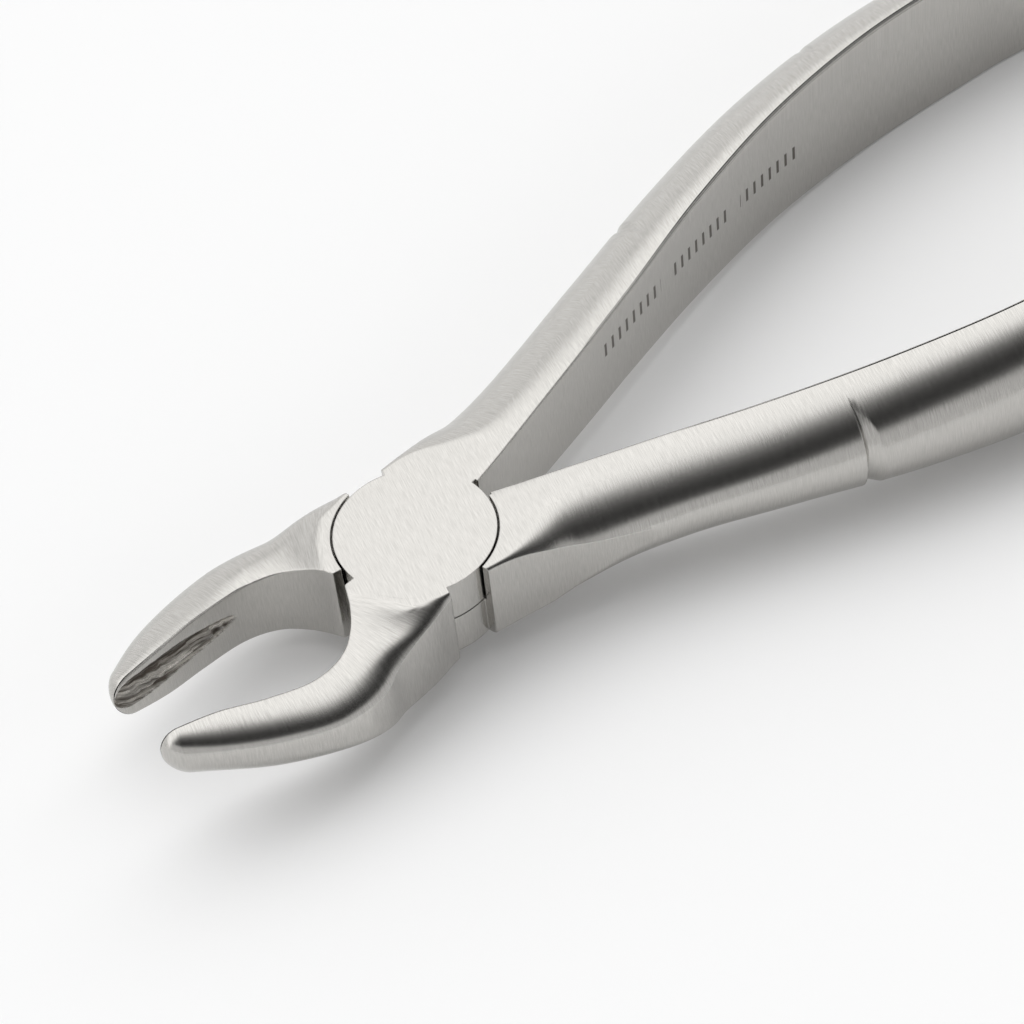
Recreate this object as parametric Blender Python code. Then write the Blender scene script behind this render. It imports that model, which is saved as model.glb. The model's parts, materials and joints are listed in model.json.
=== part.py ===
"""Extraction forceps: two forged halves that cross at a round box joint, and the pin that joins them.

Frame, in metres: the pivot axis is Z, through the origin, and the joint's flat under-face is z = 0.
The beaks point to -X and the handles to +X. The joint's thickness stands along +Z.

Both halves have the same outer form, mirrored across the XZ plane. The upper half keeps the upper
level of the joint as its disc and is hollowed below it, and the lower half the other way round.
"""
import math

import bmesh
import bpy
import numpy as np
from mathutils import Matrix

MM = 0.001

# Joint, in millimetres.
JOINT_THICK = 11.0
DISC_R = 9.0
DISC_GAP = 0.28          # clearance between a disc and the wall of its pocket
LEVEL_GAP = 0.3          # between the faces of the two discs
CORE_R = 9.5             # the round core that the limbs grow from, before it is cut back to the disc
CIRCLE_SIDES = 96
PIN_R = 2.5
PIN_RUN = 0.05           # radial clearance in the half that turns
PIN_SEAT = 0.02          # radial gap in the half that holds the pin
PIN_TOP = 8.6
PIN_SIDES = 48

# Angles, in degrees about the pivot, where the roots of the upper half's limbs end.
HANDLE_INNER = 8.6
HANDLE_OUTER = 75.0
BEAK_OUTER = -104.5
BEAK_INNER = -174.0
STOP_NOTCH_R = 9.6       # how far out the handle's root is cut back at its inner corner
BEAK_NOTCH_R = 10.8      # the same at the beak's inner corner
BARE_RIM = 29.5          # angle of rim left bare between a handle's root and the other half's beak
RIM_CLEAR_R = 15.0

# The handle, as sections from the joint to its end. Each one stands on the flat inner wall.
# Columns: x, y of the wall; heading of the section; thickness; top; bottom; how much of the
# thickness and of the height the outer rounding takes, from 0 to 1.
HANDLE = (
    (4.6, -0.5, 107, 10.6, 11.0, 0.0, 0.05, 0.05),
    (9.4, 1.05, 107, 9.7, 11.0, 0.0, 0.10, 0.08),
    (16.0, 3.25, 107, 8.9, 11.1, -0.1, 0.40, 0.28),
    (25.0, 6.3, 108, 8.9, 11.4, -0.4, 0.80, 0.64),
    (40.0, 11.6, 109, 9.4, 11.9, -0.9, 0.94, 0.92),
    (55.0, 16.8, 107, 9.1, 13.1, -2.1, 0.94, 1.00),
    (70.0, 20.8, 102, 8.9, 14.1, -3.1, 0.94, 1.00),
    (85.0, 22.9, 96, 8.5, 14.8, -3.8, 0.94, 1.00),
    (106.0, 23.3, 88, 7.8, 14.9, -3.9, 0.94, 1.00),
    (122.0, 21.4, 82, 7.2, 14.3, -3.3, 0.94, 1.00),
    (137.0, 18.6, 79, 6.4, 13.2, -2.2, 0.94, 1.00),
)
HANDLE_STEPS = 40
HANDLE_NOTCHES = (48.0, 80.5)    # x of each wedge notch across the rounded side
NOTCH_DEPTH = 0.8
NOTCH_LENGTH = 2.4
NOTCH_STEEP = 0.15               # length of the notch's steep face, which looks away from the joint

# The beak, in the same columns, from the joint to the tip.
BEAK = (
    (-7.5, 2.2, -62, 12.6, 11.0, 0.0, 0.05, 0.05),
    (-10.3, -1.1, -52, 11.4, 10.8, -0.1, 0.20, 0.20),
    (-11.3, -3.3, -66, 8.6, 10.2, -0.5, 0.45, 0.40),
    (-12.6, -5.1, -78, 6.7, 9.5, -0.6, 0.65, 0.60),
    (-14.2, -6.5, -86, 6.2, 9.0, -0.5, 0.85, 0.80),
    (-19.1, -7.8, -96, 5.8, 8.85, 0.1, 0.94, 1.00),
    (-24.7, -7.0, -101, 5.3, 9.6, 1.1, 0.94, 1.00),
    (-30.5, -5.4, -104, 4.5, 10.5, 2.8, 0.94, 1.00),
    (-34.8, -4.55, -105, 3.1, 10.7, 4.3, 0.94, 1.00),
)
BEAK_STEPS = 26

ARC_POINTS = 7           # points on each quarter of the outer rounding
ROUNDING_POWER = 1.25    # 1 is an ellipse, and more makes the rounding leaner
WIDEST_LIFT = 0.18       # how far above mid-height the rounding is widest, as a share of half the height
NOSE_STEPS = (0.45, 0.75, 0.93)      # sections that close an end, as shares of the nose's length
HANDLE_NOSE = 3.0
BEAK_NOSE = 2.1

# The hollow in the gripping end of the beak: an ellipsoid sunk into the inner wall.
HOLLOW_CENTRE = (-30.3, -5.3, 6.7)
HOLLOW_RADII = (6.4, 1.5, 2.7)
HOLLOW_TURN = -12.5
HOLLOW_TILT = 11.5


def key_slopes(at, value):
    """Slopes at the keys of a smooth curve, each a blend of its two neighbouring chords."""
    span = np.diff(at)
    chord = np.diff(value) / span
    slope = np.empty_like(value)
    slope[1:-1] = (chord[:-1] * span[1:] + chord[1:] * span[:-1]) / (span[:-1] + span[1:])
    slope[0] = 1.5 * chord[0] - 0.5 * slope[1]
    slope[-1] = 1.5 * chord[-1] - 0.5 * slope[-2]
    return slope


def smooth(at, value, query):
    """The smooth cubic curve through the keys, read at each query."""
    slope = key_slopes(at, value)
    index = np.clip(np.searchsorted(at, query) - 1, 0, len(at) - 2)
    span = at[index + 1] - at[index]
    u = (query - at[index]) / span
    start = value[index] * (1 + 2 * u) * (1 - u) ** 2 + slope[index] * span * u * (1 - u) ** 2
    end = value[index + 1] * u * u * (3 - 2 * u) + slope[index + 1] * span * u * u * (u - 1)
    return start + end


def sections(keys, steps, extra=()):
    """The limb's sections at even steps along its wall, and at each extra distance."""
    table = np.array(keys, dtype=float)
    along = np.concatenate(([0.0], np.cumsum(np.hypot(np.diff(table[:, 0]), np.diff(table[:, 1])))))
    query = np.unique(np.concatenate((np.linspace(0.0, along[-1], steps), np.array(extra))))
    columns = [smooth(along, table[:, column], query) for column in range(table.shape[1])]
    return query, np.column_stack(columns)


def distance_at(keys, x):
    """Distance along the wall's keys to the place where it reaches x."""
    table = np.array(keys, dtype=float)
    along = np.concatenate(([0.0], np.cumsum(np.hypot(np.diff(table[:, 0]), np.diff(table[:, 1])))))
    return float(np.interp(x, table[:, 0], along))


def profile(section, dent):
    """One section's outline as (outward, height) pairs, from the wall's top round to its bottom."""
    thick, top, bottom, share_out, share_up = section[3:8]
    share_out = min(share_out, 0.94)
    share_up = min(share_up, 0.97)
    widest = (top + bottom) / 2 + WIDEST_LIFT * share_up * (top - bottom) / 2
    angles = np.linspace(0.0, math.pi / 2, ARC_POINTS)
    reach = np.clip(np.sin(angles), 0, 1) ** ROUNDING_POWER
    rise = np.clip(np.cos(angles), 0, 1) ** ROUNDING_POWER
    depth = dent * np.sin(angles) ** 2
    out = thick * (1 - share_out) + thick * share_out * reach - depth
    upper = widest + (top - widest) * (1 - share_up + share_up * rise) - depth * rise
    lower = widest - (widest - bottom) * (1 - share_up + share_up * rise) + depth * rise
    outline = [(0.0, top)]
    outline += list(zip(out, upper))
    outline += list(zip(out, lower))[::-1]
    outline.append((0.0, bottom))
    return outline


def place(section, outline, side):
    """A section's outline in space. side is 1 for the upper half and -1 for its mirror image."""
    x, y = section[0], section[1]
    heading = math.radians(section[2])
    points = []
    for out, height in outline:
        across = y + out * math.sin(heading)
        points.append(((x + out * math.cos(heading)) * MM, across * side * MM, height * MM))
    return points


def nose(section, direction, length):
    """Shrinking copies of the last section, which round off a limb's end."""
    thick, top, bottom = section[3], section[4], section[5]
    heading = math.radians(section[2])
    middle = (top + bottom) / 2
    rounded = []
    for share in NOSE_STEPS:
        scale = math.sqrt(1 - share * share)
        copy = section.copy()
        shift = thick * (1 - scale) / 2
        copy[0] += direction[0] * length * share + shift * math.cos(heading)
        copy[1] += direction[1] * length * share + shift * math.sin(heading)
        copy[3] = thick * scale
        copy[4] = middle + (top - middle) * (0.45 + 0.55 * scale)
        copy[5] = middle - (middle - bottom) * (0.45 + 0.55 * scale)
        rounded.append(copy)
    return rounded


def notch_dents(along, starts):
    """Depth of the notches at each distance along the handle: a steep face, then a ramp out."""
    dents = np.zeros_like(along)
    for start in starts:
        ramp = 1 - (along - start - NOTCH_STEEP) / (NOTCH_LENGTH - NOTCH_STEEP)
        inside = (along > start + NOTCH_STEEP / 2) & (along < start + NOTCH_LENGTH)
        dents = np.where(inside, NOTCH_DEPTH * np.clip(ramp, 0, 1), dents)
    return dents


def loft(name, rings):
    """A closed body bridged through rings of points, with both ends filled."""
    mesh = bmesh.new()
    loops = []
    for ring in rings:
        verts = [mesh.verts.new(point) for point in ring]
        loops.append(verts)
    count = len(loops[0])
    for first, second in zip(loops, loops[1:]):
        for index in range(count):
            following = (index + 1) % count
            mesh.faces.new((first[index], first[following], second[following], second[index]))
    mesh.faces.new(loops[0])
    mesh.faces.new(loops[-1])
    bmesh.ops.recalc_face_normals(mesh, faces=mesh.faces)
    return finish_mesh(name, mesh)


def finish_mesh(name, mesh):
    """An object from the bmesh, linked to the scene."""
    data = bpy.data.meshes.new(name)
    mesh.to_mesh(data)
    mesh.free()
    made = bpy.data.objects.new(name, data)
    bpy.context.scene.collection.objects.link(made)
    return made


def cylinder(name, radius, bottom, top, sides):
    """A closed cylinder about the pivot axis."""
    mesh = bmesh.new()
    middle = Matrix.Translation((0.0, 0.0, (bottom + top) / 2 * MM))
    bmesh.ops.create_cone(mesh, cap_ends=True, segments=sides, radius1=radius * MM, radius2=radius * MM,
                          depth=(top - bottom) * MM, matrix=middle)
    return finish_mesh(name, mesh)


def arc(radius, start, end, side):
    """Points in plan along an arc about the pivot."""
    count = max(3, int(abs(end - start) / 360 * CIRCLE_SIDES))
    angles = np.radians(np.linspace(start, end, count + 1)) * side
    return [(radius * math.cos(angle), radius * math.sin(angle)) for angle in angles]


def relief(name, outer, start, middle, end, side):
    """A full-height block round the disc: clear of everything up to middle, then only to outer."""
    plan = arc(DISC_R, start, end, side)
    plan += arc(outer, end, middle, side)
    plan += arc(RIM_CLEAR_R, middle, start, side)
    mesh = bmesh.new()
    floor = [mesh.verts.new((x * MM, y * MM, -3.0 * MM)) for x, y in plan]
    base = mesh.faces.new(floor)
    swept = bmesh.ops.extrude_face_region(mesh, geom=[base])
    lifted = [item for item in swept["geom"] if isinstance(item, bmesh.types.BMVert)]
    bmesh.ops.translate(mesh, verts=lifted, vec=(0.0, 0.0, (JOINT_THICK + 6.0) * MM))
    bmesh.ops.recalc_face_normals(mesh, faces=mesh.faces)
    return finish_mesh(name, mesh)


def hollow(name, side):
    """The ellipsoid that hollows the beak's inner wall near its tip."""
    mesh = bmesh.new()
    bmesh.ops.create_uvsphere(mesh, u_segments=24, v_segments=12, radius=1.0)
    shape = Matrix.Diagonal([radius * MM for radius in HOLLOW_RADII] + [1.0])
    turn = Matrix.Rotation(math.radians(HOLLOW_TURN * side), 4, "Z")
    tilt = Matrix.Rotation(math.radians(HOLLOW_TILT), 4, "Y")
    x, y, z = HOLLOW_CENTRE
    move = Matrix.Translation((x * MM, y * side * MM, z * MM))
    bmesh.ops.transform(mesh, matrix=move @ turn @ tilt @ shape, verts=mesh.verts)
    return finish_mesh(name, mesh)


def combine(body, other, operation):
    """A Boolean modifier on the body. The other object is kept as a wire guide."""
    other.hide_render = True
    other.display_type = "WIRE"
    step = body.modifiers.new(other.name, "BOOLEAN")
    step.operation = operation
    step.solver = "EXACT"
    step.object = other


def handle_loft(name, side):
    """The handle: a flat inner wall and an outer side that rounds off as it leaves the joint."""
    starts = [distance_at(HANDLE, x) for x in HANDLE_NOTCHES]
    extra = []
    for start in starts:
        extra += [start, start + NOTCH_STEEP, start + NOTCH_LENGTH / 2, start + NOTCH_LENGTH]
    along, table = sections(HANDLE, HANDLE_STEPS, extra)
    dents = notch_dents(along, starts)
    rings = [place(row, profile(row, dent), side) for row, dent in zip(table, dents)]
    heading = np.array((table[-1][0] - table[-2][0], table[-1][1] - table[-2][1]))
    heading /= np.linalg.norm(heading)
    rings += [place(row, profile(row, 0.0), side) for row in nose(table[-1], heading, HANDLE_NOSE)]
    return loft(name, rings)


def beak_loft(name, side):
    """The beak: it leaves the joint full height, narrows, and curves up to a rounded tip."""
    table = sections(BEAK, BEAK_STEPS)[1]
    rings = [place(row, profile(row, 0.0), side) for row in table]
    heading = np.array((table[-1][0] - table[-2][0], table[-1][1] - table[-2][1]))
    heading /= np.linalg.norm(heading)
    rings += [place(row, profile(row, 0.0), side) for row in nose(table[-1], heading, BEAK_NOSE)]
    return loft(name, rings)


def reliefs(name, side):
    """Blocks that cut the core back to the disc wherever the other half passes or the rim is bare."""
    by_handle = relief(name + "_rim_by_handle", STOP_NOTCH_R, BEAK_OUTER, BEAK_OUTER + BARE_RIM,
                       HANDLE_INNER, side)
    by_beak = relief(name + "_rim_by_beak", BEAK_NOTCH_R, HANDLE_OUTER, HANDLE_OUTER + BARE_RIM,
                     BEAK_INNER + 360.0, side)
    return (by_handle, by_beak)


def forged_half(name, side, disc_low, disc_high):
    """One half: core, handle and beak as one piece, cut to its disc's level and outline."""
    body = cylinder(name, CORE_R, 0.0, JOINT_THICK, CIRCLE_SIDES)
    combine(body, handle_loft(name + "_handle_form", side), "UNION")
    combine(body, beak_loft(name + "_beak_form", side), "UNION")
    for block in reliefs(name, side):
        combine(body, block, "DIFFERENCE")
    if disc_low > 0:
        pocket = cylinder(name + "_pocket", DISC_R + DISC_GAP, -3.0, disc_low, CIRCLE_SIDES)
    else:
        pocket = cylinder(name + "_pocket", DISC_R + DISC_GAP, disc_high, JOINT_THICK + 3.0, CIRCLE_SIDES)
    combine(body, pocket, "DIFFERENCE")
    combine(body, hollow(name + "_hollow", side), "DIFFERENCE")
    return body


def steel(name, colour, roughness):
    """A metal material for one piece."""
    made = bpy.data.materials.new(name)
    made.use_nodes = True
    shader = made.node_tree.nodes["Principled BSDF"]
    shader.inputs["Base Color"].default_value = colour
    shader.inputs["Metallic"].default_value = 1.0
    shader.inputs["Roughness"].default_value = roughness
    return made


def dress(body, material):
    """Give the piece its material, and smooth shading that keeps its sharp edges."""
    body.data.materials.append(material)
    body.data.shade_smooth()
    body.data.set_sharp_from_angle(angle=math.radians(30.0))


def clear_scene():
    """Remove every object that a new file starts with."""
    for item in list(bpy.data.objects):
        bpy.data.objects.remove(item, do_unlink=True)


def main():
    clear_scene()
    parting_low = (JOINT_THICK - LEVEL_GAP) / 2
    parting_high = (JOINT_THICK + LEVEL_GAP) / 2

    upper = forged_half("upper_disc_half", 1, parting_high, JOINT_THICK)
    seat = cylinder("pin_seat", PIN_R + PIN_SEAT, parting_high - 1.0, PIN_TOP + LEVEL_GAP, PIN_SIDES)
    combine(upper, seat, "DIFFERENCE")
    dress(upper, steel("satin_steel_upper", (0.62, 0.61, 0.58, 1.0), 0.34))

    lower = forged_half("lower_disc_half", -1, 0.0, parting_low)
    bore = cylinder("pin_bore", PIN_R + PIN_RUN, -1.0, parting_low + 1.0, PIN_SIDES)
    combine(lower, bore, "DIFFERENCE")
    dress(lower, steel("satin_steel_lower", (0.60, 0.59, 0.56, 1.0), 0.34))

    pin = cylinder("pivot_pin", PIN_R, 0.0, PIN_TOP, PIN_SIDES)
    dress(pin, steel("pin_steel", (0.55, 0.54, 0.52, 1.0), 0.28))


main()
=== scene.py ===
# %% [markdown]
# # Extraction forceps in satin steel
# The instrument is two forgings and a pin. Each forging is a beak, one level of the round joint and a
# handle in one piece of stainless steel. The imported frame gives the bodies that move. This lesson
# makes the surfaces that are seen, at the places and sizes the frame already has.

# %% Load the frame
import json
import math

import bpy
import numpy as np
from mathutils import Matrix, Vector


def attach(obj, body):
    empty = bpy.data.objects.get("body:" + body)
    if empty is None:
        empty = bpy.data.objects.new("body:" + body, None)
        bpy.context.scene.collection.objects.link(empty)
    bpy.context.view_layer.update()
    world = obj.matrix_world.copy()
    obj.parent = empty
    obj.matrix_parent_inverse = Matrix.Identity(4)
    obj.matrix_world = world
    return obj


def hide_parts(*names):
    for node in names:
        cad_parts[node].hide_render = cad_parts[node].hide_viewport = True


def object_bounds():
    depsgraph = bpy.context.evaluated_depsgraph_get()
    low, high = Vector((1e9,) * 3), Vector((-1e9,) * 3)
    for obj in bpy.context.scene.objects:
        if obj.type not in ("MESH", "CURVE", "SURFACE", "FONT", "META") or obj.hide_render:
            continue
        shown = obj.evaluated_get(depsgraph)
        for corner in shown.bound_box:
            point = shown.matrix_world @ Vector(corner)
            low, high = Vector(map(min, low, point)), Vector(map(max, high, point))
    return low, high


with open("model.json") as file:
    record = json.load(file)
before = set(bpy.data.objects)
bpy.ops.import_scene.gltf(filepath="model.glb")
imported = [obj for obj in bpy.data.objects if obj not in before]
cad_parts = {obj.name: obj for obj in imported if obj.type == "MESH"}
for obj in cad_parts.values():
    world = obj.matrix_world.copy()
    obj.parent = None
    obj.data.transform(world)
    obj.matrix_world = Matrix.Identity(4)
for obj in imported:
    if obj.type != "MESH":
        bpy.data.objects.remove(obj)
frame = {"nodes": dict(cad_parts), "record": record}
cad_low, cad_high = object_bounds()

MM = 0.001
JOINT_THICK = frame["record"]["mounts"][1]["pos_m"][2] / MM
print("joint thickness", round(JOINT_THICK, 2), "mm")

# %% [markdown]
# ## Camera
# A long lens looks down on the joint from the beaks' side, so the handles run away to the upper right.
# The camera's own axes come from an azimuth, an elevation and a small roll. Writing them as a matrix
# keeps the aim, the distance and the roll apart, so each one can be changed alone.

# %% Camera
LENS = 123.05
AZIMUTH = -32.52
ELEVATION = 49.13
ROLL = -7.18
DISTANCE = 395.33         # millimetres from the aim to the lens
AIM = (14.65, 3.01, 0.0)  # millimetres from the pivot
SENSOR_WIDTH = 36.0
NEAREST = 0.01            # metres: nothing closer than this is drawn


def camera_matrix():
    """Axes of the camera: back from azimuth and elevation, right level with the floor, then rolled."""
    azimuth, elevation, roll = (math.radians(angle) for angle in (AZIMUTH, ELEVATION, ROLL))
    back = Vector((math.sin(azimuth) * math.cos(elevation), -math.cos(azimuth) * math.cos(elevation),
                   math.sin(elevation)))
    right = Vector((0, 0, 1)).cross(back).normalized()
    up = back.cross(right)
    rolled_right = right * math.cos(roll) + up * math.sin(roll)
    rolled_up = up * math.cos(roll) - right * math.sin(roll)
    place = (Vector(AIM) + back * DISTANCE) * MM
    return Matrix.Translation(place) @ Matrix((rolled_right, rolled_up, back)).transposed().to_4x4()


lens = bpy.data.cameras.new("camera")
lens.lens = LENS
lens.sensor_width = SENSOR_WIDTH
lens.clip_start = NEAREST
camera = bpy.data.objects.new("camera", lens)
bpy.context.scene.collection.objects.link(camera)
camera.matrix_world = camera_matrix()
bpy.context.scene.camera = camera
bpy.context.scene.view_settings.view_transform = "Standard"
print("camera at", tuple(round(value / MM) for value in camera.matrix_world.translation), "mm")

# %% [markdown]
# ## The limb as a surface
# A handle or a beak is one family of sections carried along a flat inner wall. It could be sculpted or
# subdivided from a cage, but a section with a few named measures gives the exact change from a square
# root to a round grip: thickness, top, bottom, and how much of the outer side is rounded off. Each
# measure runs along the limb as a smooth curve through a few keys.

# %% Smooth curves through keys


def smooth(at, value, query):
    """Cubic Hermite curve through (at, value). A slope blends the two neighbouring chords, and is level at
    a peak, so a run of equal keys stays flat. An end's slope carries on the bend of its first chord."""
    span = np.diff(at)
    chord = np.diff(value) / span
    slope = np.empty_like(value)
    blended = (chord[:-1] * span[1:] + chord[1:] * span[:-1]) / (span[:-1] + span[1:])
    slope[1:-1] = np.where(chord[:-1] * chord[1:] > 0, blended, 0.0)
    slope[0] = 1.5 * chord[0] - 0.5 * slope[1]
    slope[-1] = 1.5 * chord[-1] - 0.5 * slope[-2]
    index = np.clip(np.searchsorted(at, query) - 1, 0, len(at) - 2)
    span = at[index + 1] - at[index]
    u = (query - at[index]) / span
    start = value[index] * (1 + 2 * u) * (1 - u) ** 2 + slope[index] * span * u * (1 - u) ** 2
    end = value[index + 1] * u * u * (3 - 2 * u) + slope[index + 1] * span * u * u * (u - 1)
    return start + end


def wall_length(keys):
    """Running length of the inner wall at each key."""
    return np.concatenate(([0.0], np.cumsum(np.hypot(*np.diff(keys[:, :2], axis=0).T))))


def soft_min(a, b, blend):
    """The lower of a and b, with the corner between them rounded over the blend length."""
    share = np.clip(0.5 + 0.5 * (b - a) / blend, 0, 1)
    return b * (1 - share) + a * share - blend * share * (1 - share)


# Columns of both tables: x, y of the wall; heading of the section in degrees; thickness; top; bottom; share of the
# thickness that is rounded; fall of the upper arc; rise of the lower arc; radius of the inner corners;
# degrees through which the upper arc turns before it meets the side. Lengths are in millimetres.
X, Y, HEADING, THICK, TOP, BOTTOM, SHARE, FALL, RISE, CORNER, TURN = range(11)
HANDLE = np.array((
    (4.6, -0.5, 107, 10.6, 11.0, 0.0, 0.05, 0.3, 0.3, 0.08, 40),
    (9.4, 1.05, 107, 9.7, 11.0, 0.0, 0.14, 0.5, 0.6, 0.12, 44),
    (12.5, 2.08, 107, 9.4, 11.0, 0.0, 0.42, 1.3, 1.2, 0.15, 50),
    (16.0, 3.25, 107, 9.0, 11.1, -0.1, 0.72, 2.6, 2.6, 0.20, 58),
    (22.0, 5.3, 108, 9.0, 11.3, -0.3, 0.90, 3.8, 5.4, 0.28, 72),
    (28.0, 7.35, 108, 9.0, 11.5, -0.5, 0.95, 4.4, 6.8, 0.34, 82),
    (40.0, 11.6, 109, 9.1, 11.9, -0.9, 0.96, 5.4, 7.1, 0.42, 88),
    (55.0, 16.8, 107, 9.0, 13.1, -2.1, 0.96, 6.8, 7.9, 0.50, 88),
    (70.0, 20.8, 102, 8.8, 14.1, -3.1, 0.96, 7.6, 9.1, 0.50, 88),
    (85.0, 22.9, 96, 8.5, 14.8, -3.8, 0.96, 8.2, 9.9, 0.50, 88),
    (106.0, 23.3, 88, 7.8, 14.9, -3.9, 0.96, 8.3, 10.0, 0.50, 88),
    (122.0, 21.4, 82, 7.2, 14.3, -3.3, 0.96, 7.7, 9.4, 0.50, 88),
    (137.0, 18.6, 79, 6.4, 13.2, -2.2, 0.96, 6.6, 8.3, 0.50, 88),
), dtype=float)
BEAK = np.array((
    (-7.5, 2.2, -62, 12.6, 11.0, 0.0, 0.04, 0.3, 0.3, 0.10, 45),
    (-10.3, -1.1, -52, 11.4, 11.0, -0.1, 0.14, 0.7, 0.4, 0.15, 48),
    (-11.3, -3.3, -66, 8.6, 10.8, -0.5, 0.48, 1.5, 0.6, 0.18, 54),
    (-12.6, -5.1, -78, 6.9, 10.0, -0.6, 0.74, 2.0, 1.0, 0.20, 62),
    (-14.2, -6.5, -86, 6.5, 9.3, -0.5, 0.88, 2.3, 1.6, 0.22, 72),
    (-19.1, -7.8, -96, 5.8, 8.85, 0.1, 0.95, 2.3, 3.6, 0.22, 86),
    (-24.7, -7.0, -101, 5.2, 9.6, 1.1, 0.96, 2.4, 4.4, 0.22, 88),
    (-30.5, -5.4, -104, 4.4, 10.5, 2.8, 0.96, 2.4, 4.4, 0.22, 88),
    (-34.8, -4.55, -105, 2.9, 10.7, 4.3, 0.96, 2.5, 3.4, 0.20, 88),
), dtype=float)
print("handle wall", round(wall_length(HANDLE)[-1], 1), "mm, beak wall", round(wall_length(BEAK)[-1], 1), "mm")

# %% [markdown]
# ## Sections as whole arrays
# Every section has the same count of points, so a limb is a plain grid: rows along it, columns round
# it. The columns go up the flat wall, over the rounded inner corner, across the top, round the outer
# side and back underneath. A rounding is part of an ellipse, as wide and as tall as its row says.

# %% Columns round a section
WALL_COLUMNS = 46         # the hollow is worked into these, so they are the closest
CORNER_COLUMNS = 5
FLAT_COLUMNS = 6
QUARTER_COLUMNS = 18


def section_grid(table):
    """Outward distance and height of every grid point: the wall, a corner arc, a flat, and an ellipse arc
    down to the side, then the same below. An arc stops at its last angle, and is stretched so that it
    still ends on the side; a straight side joins the two arcs."""
    measures = (column[:, None] for column in table[:, THICK:TURN + 1].T)
    thick, top, bottom, share, fall, rise, corner, turn = measures
    turn = np.radians(turn)
    bend = np.linspace(0, math.pi / 2, CORNER_COLUMNS)[None, :]
    quarter = np.linspace(0, 1, QUARTER_COLUMNS)[None, :]
    flat = np.linspace(0, 1, FLAT_COLUMNS + 2)[None, 1:-1]
    wall = np.linspace(0, 1, WALL_COLUMNS + 2)[None, 1:-1]
    out_bend = corner * (1 - np.cos(bend))
    out_flat = corner + (thick * (1 - share) - corner) * flat
    out_upper = thick * (1 - share + share * np.sin(quarter * turn) / np.sin(turn))
    out_lower = thick * (1 - share + share * np.sin(quarter * math.pi / 2))
    up_upper = top - fall * (1 - np.cos(quarter * turn)) / (1 - np.cos(turn))
    up_lower = bottom + rise * (1 - np.cos(quarter * math.pi / 2))
    ones = np.ones_like(thick)
    out = np.hstack((0 * wall * ones, out_bend, out_flat, out_upper,
                     out_lower[:, ::-1], out_flat[:, ::-1], out_bend[:, ::-1]))
    up = np.hstack((bottom + corner + (top - bottom - 2 * corner) * wall, top - corner * (1 - np.sin(bend)),
                    top * np.ones_like(flat), up_upper, up_lower[:, ::-1], bottom * np.ones_like(flat),
                    bottom + corner * (1 - np.sin(bend[:, ::-1]))))
    return out, up


WALL = slice(0, WALL_COLUMNS)
QUARTER_START = WALL_COLUMNS + CORNER_COLUMNS + FLAT_COLUMNS
OUTER = slice(QUARTER_START, QUARTER_START + 2 * QUARTER_COLUMNS)
NOSE_TURN = 0.985         # share of a quarter circle that a nose goes through, so its end is a small face
NOSE_SHIFT = 0.10         # share of the thickness lost at the wall, so the end rounds on both sides
NOSE_HEIGHT = 0.08        # share of the height left at the very end
NOSE_CORNER = 0.2         # largest corner radius, as a share of the thickness
print("columns round a section", 2 * (CORNER_COLUMNS + FLAT_COLUMNS + QUARTER_COLUMNS) + WALL_COLUMNS)


def limb_table(keys, along):
    """Every measure of the limb at each distance along its wall."""
    at = wall_length(keys)
    return np.column_stack([smooth(at, keys[:, column], along) for column in range(keys.shape[1])])


def nose_rows(last, taper, direction, length, count):
    """Rows that close a limb's end: thickness and height keep their taper, and shrink as a quarter circle of
    that length. The falls of both arcs shrink with the height, so they never cross."""
    share = np.sin(np.linspace(0, math.pi / 2, count + 1)[1:] * NOSE_TURN)[:, None]
    scale = np.sqrt(1 - share * share)
    rows = np.repeat(last[None, :], count, axis=0)
    heading = np.radians(last[HEADING])
    shift = last[THICK] * (1 - scale[:, 0]) * NOSE_SHIFT
    rows[:, X] += direction[0] * length * share[:, 0] + shift * np.cos(heading)
    rows[:, Y] += direction[1] * length * share[:, 0] + shift * np.sin(heading)
    rows[:, THICK:BOTTOM + 1] += taper[THICK:BOTTOM + 1] * length * share
    kept = (rows[:, TOP] - rows[:, BOTTOM]) / (last[TOP] - last[BOTTOM])
    rows[:, THICK] *= scale[:, 0]
    middle = (rows[:, TOP] + rows[:, BOTTOM]) / 2
    squeeze = NOSE_HEIGHT + (1 - NOSE_HEIGHT) * scale[:, 0]
    rows[:, TOP] = middle + (rows[:, TOP] - middle) * squeeze
    rows[:, BOTTOM] = middle + (rows[:, BOTTOM] - middle) * squeeze
    rows[:, FALL:RISE + 1] *= (squeeze * kept)[:, None]
    rows[:, CORNER] = np.minimum(rows[:, CORNER], rows[:, THICK] * NOSE_CORNER)
    return rows


def closed_limb(keys, along, length, count):
    """Distances and measures along the limb, then on over a rounded end of that length in count rows."""
    table = limb_table(keys, along)
    step = table[-1] - table[-2]
    direction = step[:HEADING] / np.linalg.norm(step[:HEADING])
    nose = nose_rows(table[-1], step / (along[-1] - along[-2]), direction, length, count)
    further = along[-1] + length * np.arange(1, count + 1) / count
    return np.concatenate((along, further)), np.concatenate((table, nose))


def in_space(table, out, up, side):
    """Grid points in millimetres: each row steps out from the wall along its own heading."""
    heading = np.radians(table[:, HEADING])[:, None]
    x = table[:, X][:, None] + out * np.cos(heading)
    y = (table[:, Y][:, None] + out * np.sin(heading)) * side
    return np.stack((x, y, up), axis=-1)


# %% [markdown]
# ## From grid to mesh
# A grid becomes quads between neighbouring rows and columns, and a fan at each end closes it. The UV
# map named grain holds real lengths: U runs round the section and V along the limb, both in units of
# 10 mm. Brushing is drawn on that map, so the strokes cross the handle wherever it turns.

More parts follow.
